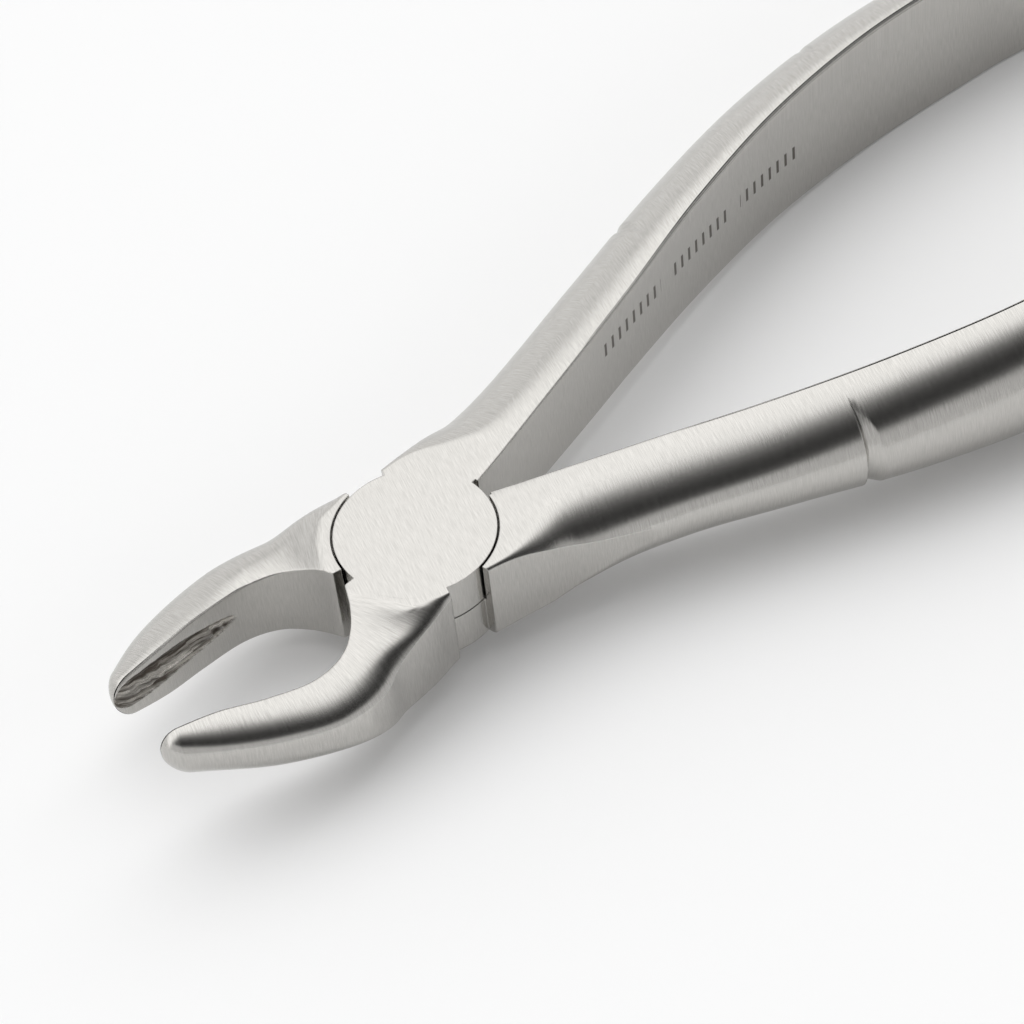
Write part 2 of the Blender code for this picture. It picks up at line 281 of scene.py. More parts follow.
# %% Grid to mesh
GRAIN_UNIT = 10.0         # millimetres in one unit of the grain map
print("one unit of the grain map is", GRAIN_UNIT, "mm")


def ring_lengths(points):
    """Running length round each row, with the closing step, so the map has no jump at the seam."""
    closed = np.concatenate((points, points[:, :1]), axis=1)
    steps = np.linalg.norm(np.diff(closed, axis=1), axis=2)
    return np.concatenate((np.zeros((len(points), 1)), np.cumsum(steps, axis=1)), axis=1)


def add_map(mesh, name, values):
    """A UV map with the given pair for every face corner."""
    mesh.uv_layers.new(name=name).data.foreach_set("uv", values.reshape(-1))


def grid_mesh(name, points, along, side, raw):
    """A closed mesh from the grid, facing outwards, with its grain map. side is -1 for a mirror image. raw is
    1 on the grid points left as forged and 0 on the ground ones; it is kept as U of a second map."""
    rows, columns = points.shape[:2]
    ends = np.stack((points[0].mean(axis=0), points[-1].mean(axis=0)))
    vertices = np.concatenate((points.reshape(-1, 3), ends)) * MM
    row, column = np.meshgrid(np.arange(rows - 1), np.arange(columns), indexing="ij")
    following = (column + 1) % columns
    quads = np.stack((row * columns + column, row * columns + following, (row + 1) * columns + following,
                      (row + 1) * columns + column), axis=-1).reshape(-1, 4)
    ring = np.arange(columns)
    after = (ring + 1) % columns
    first_fan = np.stack((after, ring, np.full(columns, rows * columns)), axis=-1)
    base = (rows - 1) * columns
    last_fan = np.stack((base + ring, base + after, np.full(columns, rows * columns + 1)), axis=-1)
    around = ring_lengths(points)
    lengths = np.broadcast_to(along[:, None], around.shape)
    quad_u = np.stack((around[row, column], around[row, column + 1], around[row + 1, column + 1],
                       around[row + 1, column]), axis=-1).reshape(-1, 4)
    quad_v = np.stack((lengths[row, column], lengths[row, column + 1], lengths[row + 1, column + 1],
                       lengths[row + 1, column]), axis=-1).reshape(-1, 4)
    quad_raw = raw.reshape(-1)[quads]
    if side > 0:
        quads, quad_u, quad_v, quad_raw = quads[:, ::-1], quad_u[:, ::-1], quad_v[:, ::-1], quad_raw[:, ::-1]
        first_fan, last_fan = first_fan[:, ::-1], last_fan[:, ::-1]
    mesh = bpy.data.meshes.new(name)
    mesh.from_pydata(vertices.tolist(), [], quads.tolist() + first_fan.tolist() + last_fan.tolist())
    grain = np.zeros((len(mesh.loops), 2))
    grain[:quads.size, 0] = quad_u.reshape(-1)
    grain[:quads.size, 1] = quad_v.reshape(-1)
    add_map(mesh, "grain", grain / GRAIN_UNIT)
    finish = np.zeros((len(mesh.loops), 2))
    finish[:quads.size, 0] = quad_raw.reshape(-1)
    add_map(mesh, "finish", finish)
    made = bpy.data.objects.new(name, mesh)
    bpy.context.scene.collection.objects.link(made)
    return made


# %% [markdown]
# ## The handle
# The grip is bare steel, so its hold comes from two wedge notches filed across the rounded side. Each
# has a steep face towards the joint and a ramp that runs out over about two millimetres. They could be
# cut with a Boolean, but a dent in the outer columns of the grid keeps the mesh and its map whole. The
# dent starts part of the way down the side, is deepest at mid-side and fades out underneath. Rows are
# packed close at each notch, so its steep face stays crisp.

# %% Handle
HANDLE_ROWS = 230
HANDLE_NOSE = 3.4         # length of the rounded end, in millimetres
HANDLE_NOSE_ROWS = 12
NOTCH_X = (48.0, 80.5)    # places along the instrument, in millimetres
NOTCH_DEPTH = 1.0
NOTCH_LENGTH = 2.1        # from the deepest line to the end of the ramp
NOTCH_STEEP = 0.10        # length of the steep face along the handle
CLOSE_ROWS = ((-0.3, NOTCH_STEEP, 6), (0.2, 2.4, 24))        # from, to and count, about each notch
NOTCH_TOP, NOTCH_SPAN = 0.42, 0.58    # sine of the turn where the dent starts, and from there to mid-side
NOTCH_UNDER = 0.6         # radians from the underside over which the dent fades
NOTCH_HOLLOW = (0.55, 0.5)            # powers that shape its outline above and below mid-side
NOTCH_LEAN = 0.8          # share of the dent's depth that moves points up or down, not inwards


def notch_depths(along, starts, reach):
    """Depth of every grid point under the wedges. Each drops over the steep length to the depth that its place
    round the side allows, and rises at one constant slope, so the wedge ends in a crisp curved edge."""
    depth = np.zeros((len(along), reach.shape[1]))
    for start in starts:
        beyond = along[:, None] - start
        down = np.clip(beyond / NOTCH_STEEP, 0, 1)
        ramp = np.maximum(beyond - NOTCH_STEEP, 0) / NOTCH_LENGTH
        depth += np.clip(NOTCH_DEPTH * (reach - ramp), 0, None) * down
    return depth


def handle_grid(side):
    """The handle's grid, with close rows at the notches, its notches and its rounded end."""
    at = wall_length(HANDLE)
    starts = np.interp(NOTCH_X, HANDLE[:, X], at)
    close = [start + np.linspace(*run) for start in starts for run in CLOSE_ROWS]
    rows = np.unique(np.concatenate((np.linspace(0, at[-1], HANDLE_ROWS), *close)))
    along, table = closed_limb(HANDLE, rows, HANDLE_NOSE, HANDLE_NOSE_ROWS)
    out, up = section_grid(table)
    turn = np.linspace(0, math.pi, 2 * QUARTER_COLUMNS)[None, :]
    above, below = NOTCH_HOLLOW
    reach = np.where(turn < math.pi / 2, np.clip((np.sin(turn) - NOTCH_TOP) / NOTCH_SPAN, 0, 1) ** above,
                     np.clip((math.pi - turn) / NOTCH_UNDER, 0, 1) ** below)
    dent = notch_depths(along, starts, reach)
    out[:, OUTER] -= dent * np.sqrt(np.sin(turn))
    up[:, OUTER] -= dent * np.cos(turn) * NOTCH_LEAN
    return in_space(table, out, up, side), along, side, np.zeros(out.shape)


# %% [markdown]
# ## The beak
# The beak leaves the joint at full height. The joint's flat top ends at a crisp arc round the pivot
# and the steel falls away beyond it, so the grid's top is held under a shallow cone about the pivot.
# Towards the tip the inner wall is hollowed to grip the root of a tooth. The hollow is as forged, with
# lengthwise ridges that meet at its inner end. It could be sculpted, but a few sums of bowls and sines
# on the grid's wall columns can be read and changed.

# %% Beak
BEAK_ROWS = 170
TIP_ROUND = 2.3           # length of the rounded tip, in millimetres
TIP_ROWS = 20
PLATEAU_R = 10.9          # the flat top of the joint ends here above the beak
PLATEAU_SLOPE = 0.62      # steepness just beyond its rim
PLATEAU_FALL = 2.4        # depth at which the slope has levelled off
PLATEAU_END = 8           # millimetres beyond the rim where the limit rises again, to let the tip pass
PLATEAU_OPEN = 0.25       # slope of that rise
PLATEAU_BLEND = 0.35      # softness of the line where the cone meets the beak's own top
CORNER_DROP = 0.01        # millimetres that the wall stays below its corner
HOLLOW_START = 16.3       # running lengths of the wall, in millimetres
HOLLOW_END = 34.8
HOLLOW_DEPTH = 1.25
HOLLOW_LIMIT = 0.55       # largest share of the beak's thickness that is hollowed
FORGED_DEPTH = 0.12       # the wall counts as forged, not ground, from this depth on
# Below, shares of the wall's height grow with the share of the hollow's length.
HALF_START, HALF_GROWTH, HALF_POWER = 0.03, 0.35, 0.6
MIDDLE_START, MIDDLE_DRIFT = 0.56, 0.03
SWAY = (0.05, 9)          # the middle wanders by this, at radians per hollow length
BOWL = (0.22, 0.80, 0.75)             # middle and half-width in half-heights, power
GROOVE = (-0.76, 0.24, 0.42)          # middle, half-width, depth
DEPTH_START, DEPTH_GROWTH = 0.55, 0.45
WANDERS = ((0.12, 4.0, 1.0), (0.03, 17.0, 0.0))              # height, radians along, start
RIDGES = ((0.15, 4.2, 2.2, 0.6), (0.02, 21.0, 5.0, 0.0))     # height, radians across and along, start
FADE_IN, FADE_OUT = 6, 9  # how quickly the hollow opens and closes, per hollow length


def plateau_limit(points):
    """Highest allowed z: level out to the plateau's rim, then down along an exponential that levels off."""
    beyond = np.maximum(np.hypot(points[..., 0], points[..., 1]) - PLATEAU_R, 0)
    fall = PLATEAU_FALL * (1 - np.exp(-PLATEAU_SLOPE * beyond / PLATEAU_FALL))
    return JOINT_THICK - fall + PLATEAU_OPEN * np.maximum(beyond - PLATEAU_END, 0)


def hollow_depth(along, share):
    """Depth of the hollow. Its half-height grows as a root of the length from its inner end. Across it is
    a bowl, a sharp ridge below the bowl, and a narrow groove; sine ridges follow its length."""
    length = np.clip((along[:, None] - HOLLOW_START) / (HOLLOW_END - HOLLOW_START), 0, 1)
    half = HALF_START + HALF_GROWTH * length ** HALF_POWER
    across = (share[None, :] - MIDDLE_START - MIDDLE_DRIFT * length) / half + SWAY[0] * np.sin(SWAY[1] * length)
    bowl = np.clip(1 - ((across - BOWL[0]) / BOWL[1]) ** 2, 0, 1) ** BOWL[2]
    groove = GROOVE[2] * np.clip(1 - ((across - GROOVE[0]) / GROOVE[1]) ** 2, 0, 1)
    wander = across + sum(height * np.sin(lengthwise * length + start) for height, lengthwise, start in WANDERS)
    ridges = sum(height * np.sin(crosswise * wander + lengthwise * length + start)
                 for height, crosswise, lengthwise, start in RIDGES)
    reach = np.clip(length * FADE_IN, 0, 1) * np.sqrt(np.clip((1 - length) * FADE_OUT, 0, 1))
    depth = HOLLOW_DEPTH * (DEPTH_START + DEPTH_GROWTH * length)
    return (depth * np.maximum(bowl, groove) + ridges * (bowl > 0)) * reach


def beak_grid(side):
    """The beak's grid: sections, the plateau's cone on top, the hollow in the wall, and a round tip."""
    rows = np.linspace(0, wall_length(BEAK)[-1], BEAK_ROWS)
    along, table = closed_limb(BEAK, rows, TIP_ROUND, TIP_ROWS)
    out, up = section_grid(table)
    share = np.linspace(0, 1, WALL_COLUMNS)
    depth = np.clip(hollow_depth(along, share), 0, table[:, THICK][:, None] * HOLLOW_LIMIT)
    out[:, WALL] += depth
    points = in_space(table, out, up, side)
    top = points[..., 2] > (table[:, TOP] + table[:, BOTTOM])[:, None] / 2
    limit = plateau_limit(points)
    limited = soft_min(points[..., 2], limit, PLATEAU_BLEND)
    points[..., 2] = np.where(top & (limit < JOINT_THICK), limited, points[..., 2])
    points[..., 2] = np.minimum(points[..., 2], JOINT_THICK)
    corner = points[:, WALL_COLUMNS, 2][:, None] - CORNER_DROP
    points[:, WALL, 2] = np.minimum(points[:, WALL, 2], corner)
    raw = np.zeros(out.shape)
    raw[:, WALL] = np.clip(depth / FORGED_DEPTH, 0, 1)
    return points, along, side, raw


# %% [markdown]
# ## The joint
# The joint is turned and milled, so it is made the same way: a round core, with blocks cut from it.
# One block clears the other half's disc, and two clear the rim where the other half's limbs pass.
# Each is a plan outline raised to a height, and Booleans put them together, because the real edges are
# crisp too. The mesh keeps them sharp, and a Bevel node in the steel eases them for the eye, as a
# stone would.

# %% Prisms and the joint's cutters
DISC_R = 9.0              # radii and gaps are in millimetres
CORE_R = 9.5
DISC_GAP = 0.28           # round the other half's disc
LEVEL_GAP = 0.20          # between the two levels
HANDLE_INNER = 8.6        # degrees round the pivot where each limb leaves the disc
HANDLE_OUTER = 75.0
BEAK_OUTER = -104.5
BEAK_INNER = -174.0
BARE_RIM = 29.5           # degrees of rim left bare beside each limb, for the swing
STOP_NOTCH_R = 9.6        # past the bare rim, how far out the cut goes on towards the handle
BEAK_NOTCH_R = 10.8       # and towards the beak
RIM_CLEAR_R = 15.0        # a cutter goes out this far, and past both faces by the next value
CUT_REACH = 3.0
ARC_STEP = 1.5            # degrees
print("bare rims start at", BEAK_OUTER, "and", HANDLE_OUTER, "degrees, and are", BARE_RIM, "degrees wide")


def arc(radius, start, end, side):
    """Plan points on an arc about the pivot, about one every ARC_STEP degrees."""
    count = max(3, int(abs(end - start) / ARC_STEP))
    angles = np.radians(np.linspace(start, end, count + 1)) * side
    return np.column_stack((radius * np.cos(angles), radius * np.sin(angles)))


def prism(name, plan, bottom, top):
    """A closed block: the plan outline at two heights. Its sides map round the outline and up."""
    area = np.sum(plan[:, 0] * np.roll(plan[:, 1], -1) - np.roll(plan[:, 0], -1) * plan[:, 1])
    outline = plan if area > 0 else plan[::-1]
    count = len(outline)
    low = np.column_stack((outline, np.full(count, bottom)))
    high = np.column_stack((outline, np.full(count, top)))
    ring = np.arange(count)
    after = (ring + 1) % count
    sides = np.stack((ring, after, after + count, ring + count), axis=-1)
    mesh = bpy.data.meshes.new(name)
    faces = sides.tolist() + [ring[::-1].tolist(), (ring + count).tolist()]
    mesh.from_pydata((np.concatenate((low, high)) * MM).tolist(), [], faces)
    steps = np.linalg.norm(np.roll(outline, -1, axis=0) - outline, axis=1)
    run = np.concatenate(([0.0], np.cumsum(steps)))
    side_u = np.tile(np.array((bottom, bottom, top, top)), count)
    side_v = np.stack((run[:-1], run[1:], run[1:], run[:-1]), axis=-1).reshape(-1)
    caps = np.concatenate((outline[::-1], outline))[:, ::-1]
    grain = np.concatenate((np.column_stack((side_u, side_v)), caps)) / GRAIN_UNIT
    add_map(mesh, "grain", grain)
    add_map(mesh, "finish", np.zeros((len(grain), 2)))
    made = bpy.data.objects.new(name, mesh)
    bpy.context.scene.collection.objects.link(made)
    return made


def relief(name, outer, start, middle, end, side):
    """The block that bares the rim: wide open to the middle angle, then only as far as outer."""
    plan = np.concatenate((arc(DISC_R, start, end, side), arc(outer, end, middle, side),
                           arc(RIM_CLEAR_R, middle, start, side)))
    return prism(name, plan, -CUT_REACH, JOINT_THICK + CUT_REACH)


def apply_boolean(body, other, operation):
    """Union or cut with the other object, then remove it."""
    step = body.modifiers.new(other.name, "BOOLEAN")
    step.operation = operation
    step.solver = "EXACT"
    step.object = other
    bpy.context.view_layer.update()
    evaluated = body.evaluated_get(bpy.context.evaluated_depsgraph_get())
    result = bpy.data.meshes.new_from_object(evaluated)
    body.modifiers.clear()
    body.data = result
    bpy.data.objects.remove(other, do_unlink=True)


# %% [markdown]
# ## The two halves
# Each half is a core with its handle and beak joined on, then cut back to one level of the joint. Its
# top is ground in one pass over joint and limbs, so its strokes all run one way. There the grain map is
# laid flat, at the angle of that pass, and everywhere else it keeps following the limb.

# %% Make both halves
TOP_GRAIN = 75.0          # degrees from the instrument's length to the strokes on the joint's top
TOP_TOLERANCE = 0.02      # millimetres under the top that still count as level
SHARP_ANGLE = 24          # degrees between faces where the shading breaks


def lay_plane_grain(mesh):
    """Faces of the joint's level top take a plane map: their places in plan, turned by the angle TOP_GRAIN."""
    places = np.empty(len(mesh.vertices) * 3)
    mesh.vertices.foreach_get("co", places)
    corners = np.empty(len(mesh.loops), dtype=int)
    mesh.loops.foreach_get("vertex_index", corners)
    counts = np.empty(len(mesh.polygons), dtype=int)
    mesh.polygons.foreach_get("loop_total", counts)
    places = places.reshape(-1, 3)[corners] / MM
    face = np.repeat(np.arange(len(counts)), counts)
    lowest = np.full(len(counts), np.inf)
    np.minimum.at(lowest, face, places[:, 2])
    level = (lowest > JOINT_THICK - TOP_TOLERANCE)[face]
    grain = np.empty(len(corners) * 2)
    layer = mesh.uv_layers["grain"].data
    layer.foreach_get("uv", grain)
    grain = grain.reshape(-1, 2)
    turn = math.radians(TOP_GRAIN)
    plane = np.column_stack((places[:, 0] * math.cos(turn) + places[:, 1] * math.sin(turn),
                             places[:, 1] * math.cos(turn) - places[:, 0] * math.sin(turn))) / GRAIN_UNIT
    layer.foreach_set("uv", np.where(level[:, None], plane, grain).reshape(-1))


def forged_half(name, side, keeps_upper):
    """Core, handle and beak as one piece, cut back to its disc's outline and level."""
    body = prism(name, arc(CORE_R, 0, 360, side)[:-1], 0.0, JOINT_THICK)
    apply_boolean(body, grid_mesh(name + "_handle", *handle_grid(side)), "UNION")
    apply_boolean(body, grid_mesh(name + "_beak", *beak_grid(side)), "UNION")
    apply_boolean(body, relief(name + "_by_handle", STOP_NOTCH_R, BEAK_OUTER, BEAK_OUTER + BARE_RIM,
                               HANDLE_INNER, side), "DIFFERENCE")
    apply_boolean(body, relief(name + "_by_beak", BEAK_NOTCH_R, HANDLE_OUTER, HANDLE_OUTER + BARE_RIM,
                               BEAK_INNER + 360, side), "DIFFERENCE")
    parting = JOINT_THICK / 2
    below = (-CUT_REACH, parting + LEVEL_GAP / 2)
    above = (parting - LEVEL_GAP / 2, JOINT_THICK + CUT_REACH)
    around = arc(DISC_R + DISC_GAP, 0, 360, side)[:-1]
    apply_boolean(body, prism(name + "_pocket", around, *(below if keeps_upper else above)), "DIFFERENCE")
    lay_plane_grain(body.data)
    print(name, len(body.data.polygons), "faces")
    return body


upper = forged_half("upper_forging", 1, True)
lower = forged_half("lower_forging", -1, False)

for half in (upper, lower):
    half.data.shade_smooth()
    half.data.set_sharp_from_angle(angle=math.radians(SHARP_ANGLE))

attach(upper, "upper_half")
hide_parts("upper_disc_half")
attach(lower, "lower_half")
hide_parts("lower_disc_half")

# %% [markdown]
# ## Satin brushed steel
# Such instruments are martensitic stainless steel: forged, ground, and brushed with a fine abrasive belt
# held across their length. Each stroke is a scratch about a tenth of a millimetre wide and a few long, so
# the steel is rougher along the limb than across it, and its highlights are soft bands with feathered
# edges. The finish could be one flat grey with a roughness, but then the bands would look like plastic.
# Here noise stretched along the grain map shifts the tone, the roughness and the surface together. The
# hollow of each beak is never ground: it keeps the dark skin of the forge, and shows through the finish map.

# %% Steel: nodes and small helpers


def linear(hex_colour):
    """An sRGB hex colour as linear values with alpha: a short straight part, then a power of 2.4."""
    values = [int(hex_colour[i:i + 2], 16) / 255 for i in (1, 3, 5)]
    return tuple(v / 12.92 if v <= 0.04045 else ((v + 0.055) / 1.055) ** 2.4 for v in values) + (1.0,)


def add(tree, kind, settings, *first, **others):
    """Adds a node with its settings. Its inputs are given in order, or by name with _ for a space, or by
    number, as i6, where two share a name. Each is a value or the output of another node."""
    node = tree.nodes.new(kind)
    for key, value in settings.items():
        setattr(node, key, value)
    places = dict(enumerate(first))
    for key, value in others.items():
        numbered = key[0] == "i" and key[1:].isdigit()
        places[int(key[1:]) if numbered else key.replace("_", " ")] = value
    for place, value in places.items():
        if isinstance(value, bpy.types.NodeSocket):
            tree.links.new(value, node.inputs[place])
        else:
            node.inputs[place].default_value = value
    return node


def scaled_noise(tree, place, scale, detail, roughness=0.5):
    """Noise over the map, with its own scale each way, in cycles per map unit."""
    stretched = add(tree, "ShaderNodeMapping", {}, place, Scale=(*scale, 1.0)).outputs[0]
    return add(tree, "ShaderNodeTexNoise", {"noise_dimensions": "2D"}, Vector=stretched, Scale=1.0, Detail=detail,
               Roughness=roughness).outputs[0]


# %% [markdown]
# ## The etched row
# One handle carries a row of fine dark marks, burnt into the middle of its inner wall by a laser. They
# are far too shallow to be geometry, so they are drawn in the colour alone: upright dashes in groups,
# with no letters in them. The wall's own grain map measures them, so they follow its curve.

# %% Etched dashes
# Steps and heights are in units of the grain map.
DASH_STEP = 0.155
DASH_SHARE = 0.30         # dark part of each step
GROUP_STEP = 1.52
GROUP_SHARE = 0.86        # part of each group that has dashes
DASH_HEIGHTS = (0.66, 0.86)           # on the wall, from its lower corner
DASH_X = (0.033, 0.073)   # metres along the instrument
print("dashes every", round(DASH_STEP * GRAIN_UNIT, 2), "mm")


def etched_marks(tree, grain, here):
    """1 on the dashes and 0 elsewhere: a product of tests. The remainder of the length over a step has to be
    under its dark share, and the height and x have to be between their limits."""
    on_wall = add(tree, "ShaderNodeSeparateXYZ", {}, grain).outputs
    in_place = add(tree, "ShaderNodeSeparateXYZ", {}, here).outputs
    tests = []
    for step, share in ((DASH_STEP, DASH_SHARE), (GROUP_STEP, GROUP_SHARE)):
        steps = add(tree, "ShaderNodeMath", {"operation": "MULTIPLY"}, on_wall["Y"], 1 / step).outputs[0]
        remainder = add(tree, "ShaderNodeMath", {"operation": "FRACT"}, steps).outputs[0]
        tests.append(("LESS_THAN", remainder, share))
    for value, (low, high) in ((on_wall["X"], DASH_HEIGHTS), (in_place["X"], DASH_X)):
        tests += [("GREATER_THAN", value, low), ("LESS_THAN", value, high)]
    marks = 1.0
    for operation, value, limit in tests:
        passed = add(tree, "ShaderNodeMath", {"operation": operation}, value, limit).outputs[0]
        marks = add(tree, "ShaderNodeMath", {"operation": "MULTIPLY"}, marks, passed).outputs[0]
    return marks


# %% [markdown]
# ## How the steel is built up
# Two noises make the brushing: fine strokes, and a slower wander that keeps them from looking ruled. A
# broad swell is the faint waviness of hand grinding. The forged skin flows along the beak, with pits. Its
# colour is its own dark tone, with painted shade in the folds and a painted highlight on the ridges.

# %% Steel
# Scales of the noises: cycles per unit of the grain map round the section and along the limb.
STROKES = (5.0, 96.0)     # scratches 2 mm long and 0.1 mm wide
WANDER = (4.5, 56.0)      # 2.2 mm by 0.18 mm
FLOW = (13.0, 0.9)        # forged ridges 0.8 mm apart that run for 11 mm
# Scales of the noises on the piece itself, in cycles per metre.
SWELL = 190.0             # 5 mm
PITS = 2600.0             # 0.4 mm
# Noise seldom leaves these spans, so they are stretched to the whole range of a colour or a roughness.
SPAN = (0.3, 0.7)
FLOW_SPAN = (0.40, 0.60)
FULL = (0.0, 1.0)
# Colours: ground steel between its strokes and on them, forged skin in its folds and on its ridges.
# The forged pair is the skin's own dark colour, with painted shade in its folds and a painted highlight on its
# ridges.
GROUND_DARK, GROUND_LIGHT = "#b5b3af", "#c3c1bd"
FORGED_SKIN_AND_FOLD_SHADE, FORGED_SKIN_AND_RIDGE_HIGHLIGHT = "#5f5953", "#d2cec7"
ETCHED = "#5e5954"
# Roughness from the dips of the noise to its crests. Stretched highlights are for ground steel only.
GROUND_ROUGH = (0.20, 0.225)
FORGED_ROUGH = (0.38, 0.24)
STRETCH = 0.45
EASED_EDGE = 0.00018      # metres: the radius that broken edges seem to have
# Bumps: strength and height in metres. The heights are what an abrasive belt and a die leave.
SWELL_BUMP = (0.12, 0.00003)
STROKE_BUMP = (0.30, 0.00002)
FORGED_BUMP = (0.6, 0.00018)
PIT_SHARE = 0.3           # height of the pits next to the ridges


def satin_steel(name, etched):
    """Brushed stainless steel, with as-forged skin where the finish map says so. Its bumps are chained, each
    on the last one's normal, after the Bevel node has eased the edges."""
    made = bpy.data.materials.new(name)
    made.use_nodes = True
    tree = made.node_tree
    shader = tree.nodes["Principled BSDF"]
    shader.inputs["Metallic"].default_value = 1.0
    grain = add(tree, "ShaderNodeUVMap", {"uv_map": "grain"}).outputs[0]
    here = add(tree, "ShaderNodeTexCoord", {}).outputs["Object"]
    finish = add(tree, "ShaderNodeUVMap", {"uv_map": "finish"}).outputs[0]
    raw = add(tree, "ShaderNodeSeparateXYZ", {}, finish).outputs["X"]
    strokes = scaled_noise(tree, grain, STROKES, 2.0, 0.6)
    wander = scaled_noise(tree, grain, WANDER, 2.0)
    flow = scaled_noise(tree, grain, FLOW, 5.0, 0.7)
    swell = add(tree, "ShaderNodeTexNoise", {}, Vector=here, Scale=SWELL, Detail=1.0).outputs[0]
    pits = add(tree, "ShaderNodeTexNoise", {}, Vector=here, Scale=PITS, Detail=2.0).outputs[0]

    colour_kind = {"data_type": "RGBA"}
    on_stroke = add(tree, "ShaderNodeMapRange", {}, strokes, *SPAN, *FULL).outputs[0]
    # Painted shade and highlight on the forged skin: darker in the folds and lighter on the ridges that the same
    # flow noise raises in the bump.
    fold_shade_to_ridge_highlight = add(tree, "ShaderNodeMapRange", {}, flow, *FLOW_SPAN, *FULL).outputs[0]
    ground = add(tree, "ShaderNodeMix", colour_kind, on_stroke, i6=linear(GROUND_DARK), i7=linear(GROUND_LIGHT))
    forged = add(tree, "ShaderNodeMix", colour_kind, fold_shade_to_ridge_highlight, i6=linear(FORGED_SKIN_AND_FOLD_SHADE), i7=linear(FORGED_SKIN_AND_RIDGE_HIGHLIGHT))
    colour = add(tree, "ShaderNodeMix", colour_kind, raw, i6=ground.outputs[2], i7=forged.outputs[2]).outputs[2]
    if etched:
        marks = etched_marks(tree, grain, here)
        colour = add(tree, "ShaderNodeMix", colour_kind, marks, i6=colour, i7=linear(ETCHED)).outputs[2]
    tree.links.new(colour, shader.inputs["Base Color"])

    ground_rough = add(tree, "ShaderNodeMapRange", {}, wander, *SPAN, *GROUND_ROUGH).outputs[0]
    forged_rough = add(tree, "ShaderNodeMapRange", {}, flow, *SPAN, *FORGED_ROUGH).outputs[0]
    rough = add(tree, "ShaderNodeMix", {}, raw, i2=ground_rough, i3=forged_rough).outputs[0]
    tree.links.new(rough, shader.inputs["Roughness"])
    stretch = add(tree, "ShaderNodeMapRange", {}, raw, *FULL, STRETCH, 0.0).outputs[0]
    tree.links.new(stretch, shader.inputs["Anisotropic"])

    ridges = add(tree, "ShaderNodeMath", {"operation": "MULTIPLY_ADD"}, pits, PIT_SHARE, flow).outputs[0]
    skin = add(tree, "ShaderNodeMath", {"operation": "MULTIPLY"}, ridges, raw).outputs[0]
    normal = add(tree, "ShaderNodeBevel", {"samples": 4}, Radius=EASED_EDGE).outputs[0]
    for height, (strength, distance) in ((swell, SWELL_BUMP), (wander, STROKE_BUMP), (strokes, STROKE_BUMP),
                                         (skin, FORGED_BUMP)):
        normal = add(tree, "ShaderNodeBump", {}, Strength=strength, Distance=distance, Height=height,
                     Normal=normal).outputs[0]
    tree.links.new(normal, shader.inputs["Normal"])
    tangent = add(tree, "ShaderNodeTangent", {"direction_type": "UV_MAP", "uv_map": "grain"}).outputs[0]
    tree.links.new(tangent, shader.inputs["Tangent"])
    return made


for half, name, etched in ((upper, "satin_brushed_steel_etched", True),
                           (lower, "satin_brushed_steel", False)):
    half.data.materials.clear()
    half.data.materials.append(satin_steel(name, etched))
    print(half.name, "is", name)

# %% [markdown]
# ## Turned steel of the pin
# The pin is turned from bar and ground flush with the joint's underside. A lathe leaves fine rings about
# the pin's own line, so its roughness follows the distance from that line.

# %% Pin
RINGS = 1600.0            # scale of the wave: one ring about every 0.2 mm
PIN_ROUGH = (0.20, 0.30)
PIN_DARK, PIN_LIGHT = "#a9a7a3", "#bdbbb7"

pin_steel = bpy.data.materials.new("turned_pin_steel")
pin_steel.use_nodes = True
turned = pin_steel.node_tree
turned_shader = turned.nodes["Principled BSDF"]
turned_shader.inputs["Metallic"].default_value = 1.0
pin_place = add(turned, "ShaderNodeTexCoord", {}).outputs["Object"]
rings = add(turned, "ShaderNodeTexWave", {"wave_type": "RINGS", "rings_direction": "Z"}, Vector=pin_place,
            Scale=RINGS, Distortion=0.6, Detail=2.0).outputs["Fac"]
pin_colour = add(turned, "ShaderNodeMix", {"data_type": "RGBA"}, rings, i6=linear(PIN_DARK),
                 i7=linear(PIN_LIGHT)).outputs[2]
pin_rough = add(turned, "ShaderNodeMapRange", {}, rings, *FULL, *PIN_ROUGH).outputs[0]
turned.links.new(pin_colour, turned_shader.inputs["Base Color"])
turned.links.new(pin_rough, turned_shader.inputs["Roughness"])
pin = frame["nodes"]["pivot_pin"]
pin.data.materials.clear()
pin.data.materials.append(pin_steel)
print("pin is", pin_steel.name)

# %% [markdown]
# ## Floor, lamps and sky
# Bright steel looks like what is around it, so the light is made of broad panels. The sky carries them as
# smooth steps of brightness: a long panel overhead and behind, dark studio beyond its edge, and a pale card
# low all round. The edge of that panel draws the dark band along each limb. Real area lamps could do it too,
# but a few numbers in the sky are quicker to change. Two wide lamps, left out of reflections, lift the paper
# underneath and keep the shadows short.

# %% Floor
FLOOR_Z = cad_low[2]
FLOOR_REACH = 3.0         # metres each way
PAPER = "#f6f6f6"         # matt white paper: just short of pure white, and rough enough to have no shine
PAPER_ROUGH = 0.9

floor_mesh = bpy.data.meshes.new("floor")
floor_corners = [(x * FLOOR_REACH, y * FLOOR_REACH, FLOOR_Z) for x, y in ((-1, -1), (1, -1), (1, 1), (-1, 1))]
floor_mesh.from_pydata(floor_corners, [], [(0, 1, 2, 3)])
floor = bpy.data.objects.new("floor", floor_mesh)
bpy.context.scene.collection.objects.link(floor)
paper = bpy.data.materials.new("white_paper")
paper.use_nodes = True
paper_shader = paper.node_tree.nodes["Principled BSDF"]
paper_shader.inputs["Base Color"].default_value = linear(PAPER)
paper_shader.inputs["Roughness"].default_value = PAPER_ROUGH
floor_mesh.materials.append(paper)
print("floor at", round(FLOOR_Z / MM, 2), "mm")

# %% Lamps
LAMPS = (                 # name, strength, spread in degrees, direction it comes from
    ("overhead_key", 0.24, 45.0, (0.08, 0.02, 1.0)),
    ("front_fill", 0.40, 80.0, (0.05, -0.70, 0.71)),
)


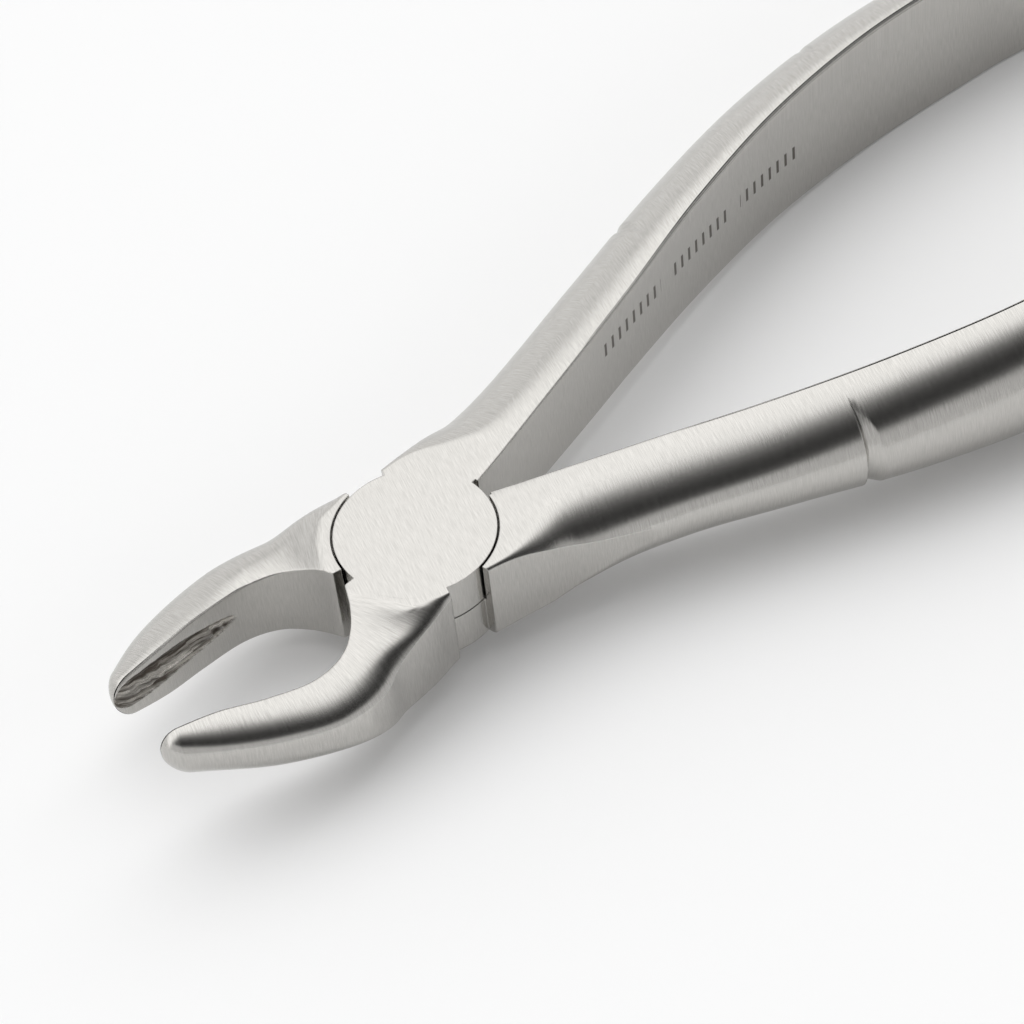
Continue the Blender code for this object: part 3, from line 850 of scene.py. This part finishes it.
def soft_sun(name, power, spread, source):
    """A lamp so far away that only its direction counts. Its spread softens the shadows, and it is left out
    of reflections, which show the sky's own panels."""
    lamp = bpy.data.lights.new(name, "SUN")
    lamp.energy = power
    lamp.angle = math.radians(spread)
    made = bpy.data.objects.new(name, lamp)
    bpy.context.scene.collection.objects.link(made)
    made.rotation_euler = Vector(source).to_track_quat("Z", "Y").to_euler()
    made.visible_glossy = False


for lamp in LAMPS:
    soft_sun(*lamp)
print("lamps", [lamp[0] for lamp in LAMPS])

# %% Sky
OVERHEAD = (0.0, 0.45, 0.893)         # direction of the long panel's middle
# Cosine of the angle from there, and the panel's brightness.
PANEL_STEPS = ((-1.0, 0.10), (0.486, 0.02), (0.641, 0.04), (0.758, 0.10), (0.855, 0.30), (0.908, 0.66),
               (0.951, 0.88), (1.0, 0.96))
CARD_EDGE = (0.66, 0.46)  # z of the direction, between which the low card fades in
CARD_DEPTHS = (0.2, 0.8)  # y of the direction, between which it brightens towards the back
CARD_LEVELS = (0.42, 0.62)
SKY_STRENGTH = 1.74

world = bpy.data.worlds.new("studio")
bpy.context.scene.world = world
world.use_nodes = True
sky = world.node_tree
heading = add(sky, "ShaderNodeTexCoord", {}).outputs["Generated"]
parts = add(sky, "ShaderNodeSeparateXYZ", {}, heading).outputs
across = add(sky, "ShaderNodeCombineXYZ", {}, 0.0, parts["Y"], parts["Z"]).outputs[0]
strip = add(sky, "ShaderNodeVectorMath", {"operation": "NORMALIZE"}, across).outputs["Vector"]
facing = add(sky, "ShaderNodeVectorMath", {"operation": "DOT_PRODUCT"}, strip, OVERHEAD).outputs["Value"]
along_ramp = add(sky, "ShaderNodeMapRange", {}, facing, -1.0, 1.0, *FULL).outputs[0]
panel = add(sky, "ShaderNodeValToRGB", {}, along_ramp)
panel.color_ramp.interpolation = "EASE"
while len(panel.color_ramp.elements) < len(PANEL_STEPS):
    panel.color_ramp.elements.new(0.5)
for element, (cosine, bright) in zip(panel.color_ramp.elements, PANEL_STEPS):
    element.position = (cosine + 1) / 2
    element.color = (bright, bright, bright, 1.0)
card = add(sky, "ShaderNodeMapRange", {"interpolation_type": "SMOOTHSTEP"}, parts["Z"], *CARD_EDGE,
           *FULL).outputs[0]
further_back = add(sky, "ShaderNodeMapRange", {}, parts["Y"], *CARD_DEPTHS, *CARD_LEVELS).outputs[0]
card_level = add(sky, "ShaderNodeMath", {"operation": "MULTIPLY"}, card, further_back).outputs[0]
brighter = add(sky, "ShaderNodeMix", {"data_type": "RGBA", "blend_type": "LIGHTEN"}, 1.0,
               i6=panel.outputs["Color"], i7=card_level)
background = sky.nodes["Background"]
sky.links.new(brighter.outputs[2], background.inputs["Color"])
background.inputs["Strength"].default_value = SKY_STRENGTH
print("sky of", len(PANEL_STEPS), "steps at strength", SKY_STRENGTH)
